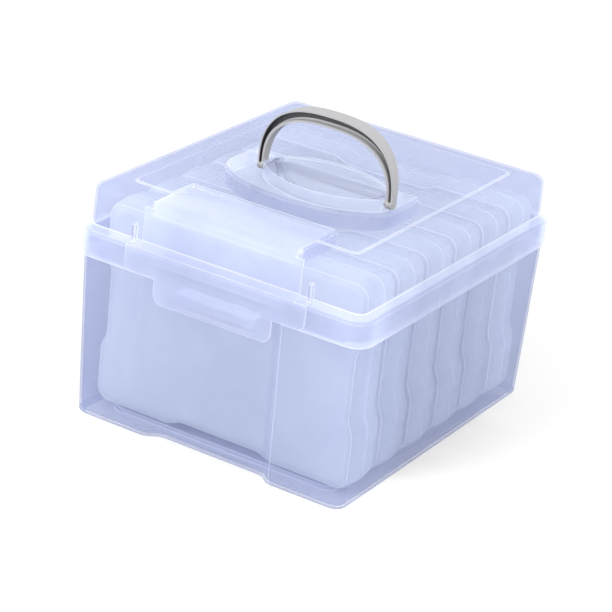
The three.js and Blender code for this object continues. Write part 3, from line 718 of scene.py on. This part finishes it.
def latch():
    """The plate with its barrel, its pins and the bead inside its tongue."""
    plate = prism(latch_section(), -WING_HALF - OVERRUN, WING_HALF + OVERRUN, "x")
    outline = prism(latch_outline(), LID_FRONT - RUN - PLATE - OVERRUN, LATCH_Y + OVERRUN, "y")
    combined(plate, [outline], "INTERSECT")
    half = NOTCH_WIDTH / 2 - RUN
    pin_half = half + LATCH_PIN_LENGTH
    barrel = bar(BARREL, -half, half, LATCH_Y, LATCH_Z)
    pins = bar(LATCH_PIN, -pin_half, pin_half, LATCH_Y, LATCH_Z)
    skirt = LID_FRONT - RUN
    bead_top = CATCH_BOTTOM - BEAD_BELOW_CATCH
    bead = block((-BEAD_WIDTH / 2, skirt - PLATE / 2, bead_top - BEAD_HEIGHT),
                 (BEAD_WIDTH / 2, skirt + BEAD_STAND, bead_top))
    return join(plate, [barrel, pins, bead])


# The handle


def full_arc(half, rise, lift):
    """Half of an ellipse with fuller shoulders, from right to left."""
    points = []
    for x, z in arc((0, 0), 1.0, 0, math.pi, ARCH_STEPS):
        spread = (abs(x) ** HANDLE_FULLNESS + abs(z) ** HANDLE_FULLNESS) ** (-1 / HANDLE_FULLNESS)
        points.append((x * spread * half, HANDLE_Z + lift + z * spread * (rise - lift)))
    return points


def arch(outer, inner, low, high):
    """A flat band between two arcs of equally many points."""
    return skinned("arch", [[(ox, low, oz), (ox, high, oz), (ix, high, iz), (ix, low, iz)]
                            for (ox, oz), (ix, iz) in zip(outer, inner)])


def handle_ends():
    """The round feet and the pivot pins, drawn deeper, because the feet are slimmed later."""
    ends = []
    for side in (-1, 1):
        for radius, reach in ((HANDLE_BOSS, 0), (HANDLE_PIN, HANDLE_PIN_LENGTH)):
            low, high = sorted((side * (HANDLE_INNER - reach), side * HANDLE_HALF))
            ends.append(bar((radius / FOOT_DEPTH_SHARE, radius), low, high, HANDLE_Y, HANDLE_Z))
    return ends


def handle():
    """Slim at its feet and deeper towards its crown, where it also leans back."""
    inner_rise = HANDLE_RISE - HANDLE_CROWN
    back = HANDLE_FRONT + HANDLE_DEPTH
    half, rise = HANDLE_HALF - HANDLE_FLANGE, HANDLE_RISE - HANDLE_FLANGE
    open_front = HANDLE_FRONT - OVERRUN
    grip = arch(full_arc(HANDLE_HALF, HANDLE_RISE, 0),
                full_arc(HANDLE_INNER, inner_rise, 0),
                HANDLE_FRONT, back)
    channel = arch(full_arc(half, rise, HANDLE_LIFT),
                   full_arc(HANDLE_INNER + HANDLE_FLANGE, inner_rise + HANDLE_FLANGE, HANDLE_LIFT),
                   open_front, back - HANDLE_FLOOR)
    # The groove under the outer flange takes the painted shade.
    groove = arch(full_arc(half + TOUCH, rise + TOUCH, HANDLE_LIFT),
                  full_arc(half - HANDLE_GROOVE, rise - HANDLE_GROOVE_CROWN, HANDLE_LIFT),
                  open_front, back - HANDLE_FLOOR + HANDLE_GROOVE_DEPTH)
    join(grip, handle_ends())
    cut(with_slots(grip, len(SLOTS)), [channel, marked(groove, OTHER)])
    for vert in grip.data.vertices:
        share = max(vert.co.z - HANDLE_Z, 0) / HANDLE_RISE
        depth = mix(FOOT_DEPTH_SHARE, CROWN_DEPTH_SHARE, share)
        vert.co.y = HANDLE_Y + CROWN_BACK * share + (vert.co.y - HANDLE_Y) * depth
    return grip


# The picture cases

# The band of a tray's skin that is its rim, counted from the face
TRAY_RIM_BAND = 3


def tray_ring(z, inset):
    """A ring of a tray that lies on its face, with a waist in each side."""
    half_x, half_y = CASE_WIDTH / 2 - inset, CASE_HEIGHT / 2 - inset
    radius = CASE_CORNER - min(inset, SHOULDER_INSET)
    long = waist_side(LONG_WAIST, half_y)
    short = waist_side(SHORT_WAIST, half_x)
    right = [(-y, x) for x, y in short]
    back = [(-x, -y) for x, y in long]
    left = [(y, -x) for x, y in short]
    return rounded(half_x, half_y, radius, (long, right, back, left)), z


def tray(name):
    """A shallow tray that lies on its face, its rim just short of the parting."""
    # The tray's rim band and its rounded edges take the painted edge highlight.
    rim = PARTING - TOUCH / 2
    return loft(name, [
        tray_ring(0, FACE_INSET),
        tray_ring(FACE_RISE, SHOULDER_INSET + CASE_DRAFT / 2),
        tray_ring(SHOULDER_RISE, CASE_DRAFT),
        tray_ring(rim, 0),
        tray_ring(rim, CASE_WALL),
        tray_ring(SHOULDER_RISE + CASE_WALL, CASE_WALL + CASE_DRAFT),
        tray_ring(CASE_WALL, FACE_INSET + CASE_WALL / 2),
    ], lambda band, column: EDGE if band == TRAY_RIM_BAND else BODY)


def case_knuckle(low, high, side):
    """A stretch of the hinge's barrel, and the arm that carries it."""
    y = side * CASE_AXIS
    near, far = sorted((side * (WAIST_EDGE - CASE_WALL / 2), y))
    arm = block((low, near, PARTING - CASE_HINGE - CASE_ARM),
                (high, far, PARTING - TOUCH - CASE_HINGE / 2))
    return [bar(CASE_HINGE, low, high, y, PARTING), arm]


def case_back():
    """The back tray, with the two outer knuckles of the hinge."""
    inside = CASE_LID_KNUCKLE / 2 + RUN
    outside = inside + CASE_BASE_KNUCKLE
    bore_half = inside + CASE_PIN_LENGTH + TOUCH
    knuckles = case_knuckle(inside, outside, -1) + case_knuckle(-outside, -inside, -1)
    bore = bar(CASE_PIN + TOUCH, -bore_half, bore_half, -CASE_AXIS, PARTING)
    return cut(join(tray("case_back"), knuckles), [bore])


def case_front():
    """The front tray, with the middle knuckle, its pins and the snap tab."""
    half = CASE_LID_KNUCKLE / 2
    reach = half + RUN + CASE_PIN_LENGTH
    top = WAIST_EDGE + TOUCH + TAB_THICKNESS
    low, right = PARTING - TAB_ROOT, TAB_WIDTH / 2
    tab = block((-right, -top, low), (right, -WAIST_EDGE - TOUCH, PARTING + TAB_LAP))
    root = block((-right, -top, low), (right, CASE_WALL / 2 - WAIST_EDGE, PARTING - TOUCH))
    pin = bar(CASE_PIN, -reach, reach, CASE_AXIS, PARTING)
    return join(tray("case_front"), case_knuckle(-half, half, 1) + [pin, tab, root])


# Finishing

BEVEL = 0.5
HANDLE_BEVEL = 0.35
BEVEL_STEPS = 2
SHARP_ANGLE = math.radians(35.0)


def finished(piece, bevel, materials, edge=EDGE, clamped=False):
    """Gives a piece its materials, rounds its sharp edges in one of them, and brings it to metres."""
    with_slots(piece, len(materials))
    for index, material in enumerate(materials):
        piece.data.materials[index] = material
    modifier = piece.modifiers.new("rounded edges", "BEVEL")
    modifier.width = bevel
    modifier.segments = BEVEL_STEPS
    modifier.limit_method = "ANGLE"
    modifier.angle_limit = SHARP_ANGLE
    # The rounded edges take the given slot, on most pieces the painted edge highlight.
    modifier.material = edge
    modifier.miter_outer = "MITER_ARC"
    modifier.use_clamp_overlap = clamped
    settled(piece)
    mesh = piece.data
    mesh.transform(Matrix.Scale(MM, 4))
    mesh.shade_smooth()
    mesh.set_sharp_from_angle(angle=SHARP_ANGLE)
    return piece


def placed(piece, name, body, nodes, turn=Matrix.Identity(4), offset=(0, 0, 0)):
    """Names a finished piece, sets it in its place, and says what it stands for and rides on."""
    piece.name = name
    piece.matrix_world = Matrix.Translation((Vector(offset) + Vector((0, SHIFT_Y, 0))) * MM) @ turn
    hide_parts(*nodes)
    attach(piece, body)


# Shader building blocks

NOISE_LOW = 0.3
NOISE_HIGH = 0.7
EVEN = (1.0, 1.0, 1.0)


def node(tree, kind, *sources, operation=None, **inputs):
    """A new node. The sources feed its first inputs in order, and the others go by name."""
    made_node = tree.nodes.new(kind)
    if operation:
        made_node.operation = operation
    for socket, source in zip(made_node.inputs, sources):
        tree.links.new(source, socket)
    for name, value in inputs.items():
        socket = made_node.inputs[name.replace("_", " ")]
        if isinstance(value, bpy.types.NodeSocket):
            tree.links.new(value, socket)
        else:
            socket.default_value = value
    return made_node


def blank_material(name):
    material = bpy.data.materials.new(name)
    material.use_nodes = True
    material.node_tree.nodes.clear()
    return material, material.node_tree


def noise(tree, coordinates, scale, detail, stretch=EVEN):
    """A noise over the object's own space, drawn out along one axis by a stretch below one."""
    mapping = node(tree, "ShaderNodeMapping", coordinates, Scale=stretch)
    texture = node(tree, "ShaderNodeTexNoise", mapping.outputs[0], Scale=scale, Detail=detail)
    return texture.outputs["Fac"]


def ranged(tree, value, low, high):
    """A value between low and high that follows a noise."""
    return node(tree, "ShaderNodeMapRange", value, From_Min=NOISE_LOW, From_Max=NOISE_HIGH,
                To_Min=low, To_Max=high).outputs[0]


def two_colours(tree, value, low, high):
    """A colour between two that follows a noise."""
    ramp = node(tree, "ShaderNodeValToRGB", value)
    first, second = ramp.color_ramp.elements
    first.position, second.position = NOISE_LOW, NOISE_HIGH
    first.color, second.color = (*low, 1.0), (*high, 1.0)
    return ramp.outputs[0]


def any_ray(tree, *kinds):
    """1 for the rays of any of these kinds, and 0 for the others."""
    path = node(tree, "ShaderNodeLightPath")
    found = path.outputs[kinds[0]]
    for kind in kinds[1:]:
        found = node(tree, "ShaderNodeMath", found, path.outputs[kind], operation="MAXIMUM").outputs[0]
    return found


def mixed(tree, share, first, second):
    """The first shader where the share is 0, and the second where it is 1."""
    return node(tree, "ShaderNodeMixShader", share, first, second).outputs[0]


def added(tree, first, second):
    return node(tree, "ShaderNodeAddShader", first, second).outputs[0]


# The clear plastic. Noise scales are per metre, and bump heights are in metres.

CLOUD_SCALE = 22.0
CLOUD_DETAIL = 3.0
FLOW_SCALE = 60.0
FLOW_DETAIL = 4.0
FLOW_STRETCH = (1.0, 1.0, 0.25)
FLOW_STRENGTH = 0.05
FLOW_HEIGHT = 0.0005
CLEAR_IOR = 1.49
CLEAR_SPECULAR = 0.3
SMOOTHER_SHARE = 0.8
ROUGHER_SHARE = 1.25
THINNER_SHARE = 0.92
THICKER_SHARE = 1.08
LIGHT_KEPT_SHARE = 0.05
NARROW_RIM = 0.2
WIDE_RIM = 0.45
TUB_TINT = (0.94, 0.955, 1.0)
LID_TINT = (0.95, 0.965, 1.0)
LATCH_TINT = (0.97, 0.98, 1.0)
NO_TINT = (1.0, 1.0, 1.0)


def milk(tree, clouds, flow, colour, cloud, roughness, translucency):
    """The milky body: a satin skin, and the light of the same colour that comes through it."""
    tint = two_colours(tree, clouds, colour, cloud)
    bump = node(tree, "ShaderNodeBump", Height=flow, Strength=FLOW_STRENGTH, Distance=FLOW_HEIGHT)
    gloss = ranged(tree, flow, roughness * SMOOTHER_SHARE, roughness * ROUGHER_SHARE)
    skin = node(tree, "ShaderNodeBsdfPrincipled", Base_Color=tint, Roughness=gloss,
                Normal=bump.outputs[0], IOR=CLEAR_IOR, Specular_IOR_Level=CLEAR_SPECULAR)
    passed = node(tree, "ShaderNodeVectorMath", tint, operation="SCALE", Scale=translucency)
    through = node(tree, "ShaderNodeBsdfTranslucent", Color=passed.outputs[0])
    return added(tree, skin.outputs[0], through.outputs[0])


def clear_plastic(name, colour, cloud, seen_through, opacity, edge_opacity, roughness, translucency,
                  rim=NARROW_RIM):
    """Milky see-through plastic: faint clouds in colour and body, mould flow in its gloss.

    It takes less from the light that passes than from the view, as thin milky walls do.
    """
    material, tree = blank_material(name)
    place = node(tree, "ShaderNodeTexCoord").outputs["Object"]
    clouds = noise(tree, place, CLOUD_SCALE, CLOUD_DETAIL)
    flow = noise(tree, place, FLOW_SCALE, FLOW_DETAIL, FLOW_STRETCH)
    body = milk(tree, clouds, flow, colour, cloud, roughness, translucency)

    carries_light = any_ray(tree, "Is Shadow Ray", "Is Diffuse Ray")
    tinted = node(tree, "ShaderNodeBsdfTransparent", Color=(*seen_through, 1.0)).outputs[0]
    untinted = node(tree, "ShaderNodeBsdfTransparent").outputs[0]
    gap = mixed(tree, carries_light, tinted, untinted)

    facing = node(tree, "ShaderNodeLayerWeight", Blend=rim).outputs["Facing"]
    flat_opacity = ranged(tree, clouds, opacity * THINNER_SHARE, opacity * THICKER_SHARE)
    depth = node(tree, "ShaderNodeMapRange", facing, To_Min=flat_opacity, To_Max=edge_opacity)
    depth.interpolation_type = "SMOOTHSTEP"
    kept = node(tree, "ShaderNodeMapRange", carries_light, To_Min=1.0, To_Max=LIGHT_KEPT_SHARE)
    share = node(tree, "ShaderNodeMath", depth.outputs[0], kept.outputs[0], operation="MULTIPLY")
    node(tree, "ShaderNodeOutputMaterial", Surface=mixed(tree, share.outputs[0], gap, body))
    return material


tub_clear = clear_plastic(
    "tub_clear", (0.23, 0.27, 0.47), (0.25, 0.29, 0.49), TUB_TINT,
    opacity=0.25, edge_opacity=0.6, roughness=0.22, translucency=0.43)
foot_clear = clear_plastic(
    "foot_clear", (0.23, 0.27, 0.46), (0.25, 0.29, 0.48), TUB_TINT,
    opacity=0.5, edge_opacity=0.7, roughness=0.22, translucency=0.43)
# Painted highlight: a paler colour on the rim's top face and the hollow's right edge; the catch takes
# it too, painted paler for the light that passes through it.
catch_and_highlight_clear = clear_plastic(
    "catch_and_highlight_clear", (0.50, 0.56, 0.76), (0.53, 0.59, 0.78), TUB_TINT,
    opacity=0.28, edge_opacity=0.7, roughness=0.22, translucency=1.0)
lid_clear = clear_plastic(
    "lid_clear", (0.32, 0.36, 0.57), (0.35, 0.39, 0.59), LID_TINT,
    opacity=0.23, edge_opacity=0.6, roughness=0.22, translucency=0.5)
# A paler colour for the skirt, the notch and well walls, and a painted highlight on the panel's slope
# and the shelf.
skirt_and_highlight_clear = clear_plastic(
    "skirt_and_highlight_clear", (0.46, 0.50, 0.68), (0.49, 0.53, 0.70), LID_TINT,
    opacity=0.27, edge_opacity=0.6, roughness=0.22, translucency=1.0)
latch_clear = clear_plastic(
    "clear_latch", (0.50, 0.55, 0.76), (0.53, 0.58, 0.78), LATCH_TINT,
    opacity=0.32, edge_opacity=0.6, roughness=0.22, translucency=1.0)
case_clear = clear_plastic(
    "inner_case", (0.80, 0.86, 0.99), (0.83, 0.89, 1.0), NO_TINT,
    opacity=0.44, edge_opacity=0.8, roughness=0.28, translucency=0.2, rim=WIDE_RIM)
# Painted highlight: the rounded edges and the skirt's foot take this paler colour, lit from both
# sides, so that they show as bright lines.
painted_edge_highlight = clear_plastic(
    "painted_edge_highlight", (0.54, 0.56, 0.70), (0.57, 0.59, 0.72), NO_TINT,
    opacity=0.48, edge_opacity=0.7, roughness=0.25, translucency=1.0)
# Painted highlight: the trays' rims and rounded edges take this paler, denser colour so that they show
# as bright lines.
painted_case_highlight = clear_plastic(
    "painted_case_highlight", (0.80, 0.84, 1.0), (0.83, 0.87, 1.0), NO_TINT,
    opacity=0.6, edge_opacity=0.9, roughness=0.25, translucency=0.6)

# The grey plastic of the handle, with the same units

MOTTLE_SCALE = 40.0
MOTTLE_DETAIL = 4.0
GRAIN_SCALE = 2500.0
GRAIN_DETAIL = 3.0
GRAIN_STRENGTH = 0.12
GRAIN_HEIGHT = 0.0001
GREY_IOR = 1.5
GREY_SMOOTHEST = 0.36
GREY_ROUGHEST = 0.46


def grey_plastic(name, colour, mottle):
    """Satin plastic, faintly mottled, with a fine grain."""
    material, tree = blank_material(name)
    place = node(tree, "ShaderNodeTexCoord").outputs["Object"]
    clouds = noise(tree, place, MOTTLE_SCALE, MOTTLE_DETAIL)
    grain = noise(tree, place, GRAIN_SCALE, GRAIN_DETAIL)
    tint = two_colours(tree, clouds, colour, mottle)
    gloss = ranged(tree, clouds, GREY_SMOOTHEST, GREY_ROUGHEST)
    bump = node(tree, "ShaderNodeBump", Height=grain, Strength=GRAIN_STRENGTH, Distance=GRAIN_HEIGHT)
    skin = node(tree, "ShaderNodeBsdfPrincipled", Base_Color=tint, Roughness=gloss,
                Normal=bump.outputs[0], IOR=GREY_IOR)
    node(tree, "ShaderNodeOutputMaterial", Surface=skin.outputs[0])
    return material


handle_grey = grey_plastic("handle_grey", (0.48, 0.48, 0.49), (0.51, 0.51, 0.52))
# Painted shade: the groove under the handle's outer flange is painted near black for the shade that
# falls there.
handle_painted_shade = grey_plastic("handle_painted_shade", (0.06, 0.06, 0.07), (0.08, 0.08, 0.09))

# The pieces

tub_piece = finished(tub(), BEVEL, [tub_clear, painted_edge_highlight, catch_and_highlight_clear, foot_clear])
lid_piece = finished(lid(), BEVEL, [lid_clear, painted_edge_highlight, skirt_and_highlight_clear])
latch_piece = finished(latch(), BEVEL, [latch_clear, painted_edge_highlight])
handle_piece = finished(handle(), HANDLE_BEVEL, [handle_grey, handle_grey, handle_painted_shade],
                        edge=AS_BESIDE, clamped=True)
placed(tub_piece, "tub", "outer_base", ["outer_base"])
placed(lid_piece, "lid", "outer_lid", ["outer_lid"])
placed(latch_piece, "latch", "front_latch", ["front_latch"])
placed(handle_piece, "handle", "carry_handle", ["carry_handle"])


def case_half(finished_tray, half, body, side, number):
    """One tray, stood on edge in its picture case's place. The side is 1 at the back, -1 in front."""
    piece = bpy.data.objects.new(half, finished_tray.data)
    bpy.context.scene.collection.objects.link(piece)
    middle = CASE_MIDDLE_Y + CASE_PITCH * (number - 1)
    offset = (0, middle + side * CASE_THICKNESS / 2, CASE_MIDDLE_Z)
    turn = Matrix.Rotation(side * QUARTER_TURN, 4, "X")
    node_name = f"inner_{half}_{number}"
    placed(piece, f"case_{number}_{half}", f"{body}_{number}", [node_name], turn, offset)


back_tray = finished(case_back(), BEVEL, [case_clear, painted_case_highlight])
front_tray = finished(case_front(), BEVEL, [case_clear, painted_case_highlight])
for number in range(1, CASE_COUNT + 1):
    case_half(back_tray, "base", "inner_case", 1, number)
    case_half(front_tray, "lid", "inner_case_lid", -1, number)
bpy.data.objects.remove(back_tray)
bpy.data.objects.remove(front_tray)

# Camera, worked out from the photograph's outline

CAMERA_AZIMUTH = math.radians(29.47)
CAMERA_ELEVATION = math.radians(23.34)
CAMERA_ROLL = math.radians(6.43)
CAMERA_DISTANCE = 1.6016
CAMERA_TARGET = Vector((0, SHIFT_Y, 73.6)) * MM
CAMERA_LENS = 144.42
CAMERA_SHIFT = (-0.0124, -0.0105)


def camera():
    """Looks at the object from its front right, from above, with the picture's slight roll."""
    level = math.cos(CAMERA_ELEVATION)
    across, along = math.cos(CAMERA_AZIMUTH), math.sin(CAMERA_AZIMUTH)
    back = Vector((along * level, -across * level, math.sin(CAMERA_ELEVATION)))
    right = Vector((across, along, 0))
    up = back.cross(right)
    turn = Matrix((right, up, back)).transposed() @ Matrix.Rotation(CAMERA_ROLL, 3, "Z")
    data = bpy.data.cameras.new("camera")
    data.lens = CAMERA_LENS
    data.shift_x, data.shift_y = CAMERA_SHIFT
    eye = bpy.data.objects.new("camera", data)
    eye.matrix_world = Matrix.Translation(CAMERA_TARGET + CAMERA_DISTANCE * back) @ turn.to_4x4()
    bpy.context.scene.collection.objects.link(eye)
    bpy.context.scene.camera = eye


# Studio. Each lamp has its power in watts, and its side and its place in metres.

KEY_LAMP = (42.0, 1.6, (-1.3, -2.4, 1.5))
FILL_LAMP = (28.0, 1.6, (2.3, -1.3, 1.3))
TOP_LAMP = (3.0, 2.0, (0.5, 0.6, 2.6))
WHITE = (1.0, 1.0, 1.0, 1.0)
WORLD_LIGHT = 0.78
WORLD_SEEN = 1.0
FLOOR_REACH = 6.0
FLOOR_COLOUR = (0.93, 0.93, 0.93, 1.0)
FLOOR_BOUNCE = (0.62, 0.62, 0.64, 1.0)
FLOOR_LIFT = 0.18


def lamp(name, energy, size, place):
    """A soft square lamp that points at the object."""
    data = bpy.data.lights.new(name, "AREA")
    data.energy = energy
    data.size = size
    soft = bpy.data.objects.new(name, data)
    soft.location = place
    soft.rotation_euler = (CAMERA_TARGET - Vector(place)).to_track_quat("-Z", "Y").to_euler()
    bpy.context.scene.collection.objects.link(soft)


def seen_or_lit(tree, lit, seen):
    """One shader for the light it gives, and another for what the camera sees, also through gloss."""
    looks = any_ray(tree, "Is Camera Ray", "Is Glossy Ray", "Is Transmission Ray")
    return mixed(tree, looks, lit, seen)


def studio():
    """Even light from all around, and a plain white behind the object."""
    sky = bpy.data.worlds.new("studio")
    sky.use_nodes = True
    tree = sky.node_tree
    tree.nodes.clear()
    lit = node(tree, "ShaderNodeBackground", Color=WHITE, Strength=WORLD_LIGHT).outputs[0]
    seen = node(tree, "ShaderNodeBackground", Color=WHITE, Strength=WORLD_SEEN).outputs[0]
    node(tree, "ShaderNodeOutputWorld", Surface=seen_or_lit(tree, lit, seen))
    bpy.context.scene.world = sky


def studio_floor():
    """A plain floor, lifted towards white where it is seen, and darker in the light it gives."""
    reach = FLOOR_REACH
    corners = [(-reach, -reach, 0), (reach, -reach, 0), (reach, reach, 0), (-reach, reach, 0)]
    mesh = bpy.data.meshes.new("floor")
    mesh.from_pydata(corners, [], [tuple(range(len(corners)))])
    ground = bpy.data.objects.new("floor", mesh)
    bpy.context.scene.collection.objects.link(ground)
    material, tree = blank_material("floor")
    pale = node(tree, "ShaderNodeBsdfDiffuse", Color=FLOOR_COLOUR).outputs[0]
    dull = node(tree, "ShaderNodeBsdfDiffuse", Color=FLOOR_BOUNCE).outputs[0]
    glow = node(tree, "ShaderNodeEmission", Strength=FLOOR_LIFT).outputs[0]
    node(tree, "ShaderNodeOutputMaterial", Surface=seen_or_lit(tree, dull, added(tree, pale, glow)))
    mesh.materials.append(material)


camera()
studio()
studio_floor()
lamp("key", *KEY_LAMP)
lamp("fill", *FILL_LAMP)
lamp("top", *TOP_LAMP)

bpy.context.scene.view_settings.view_transform = "Standard"
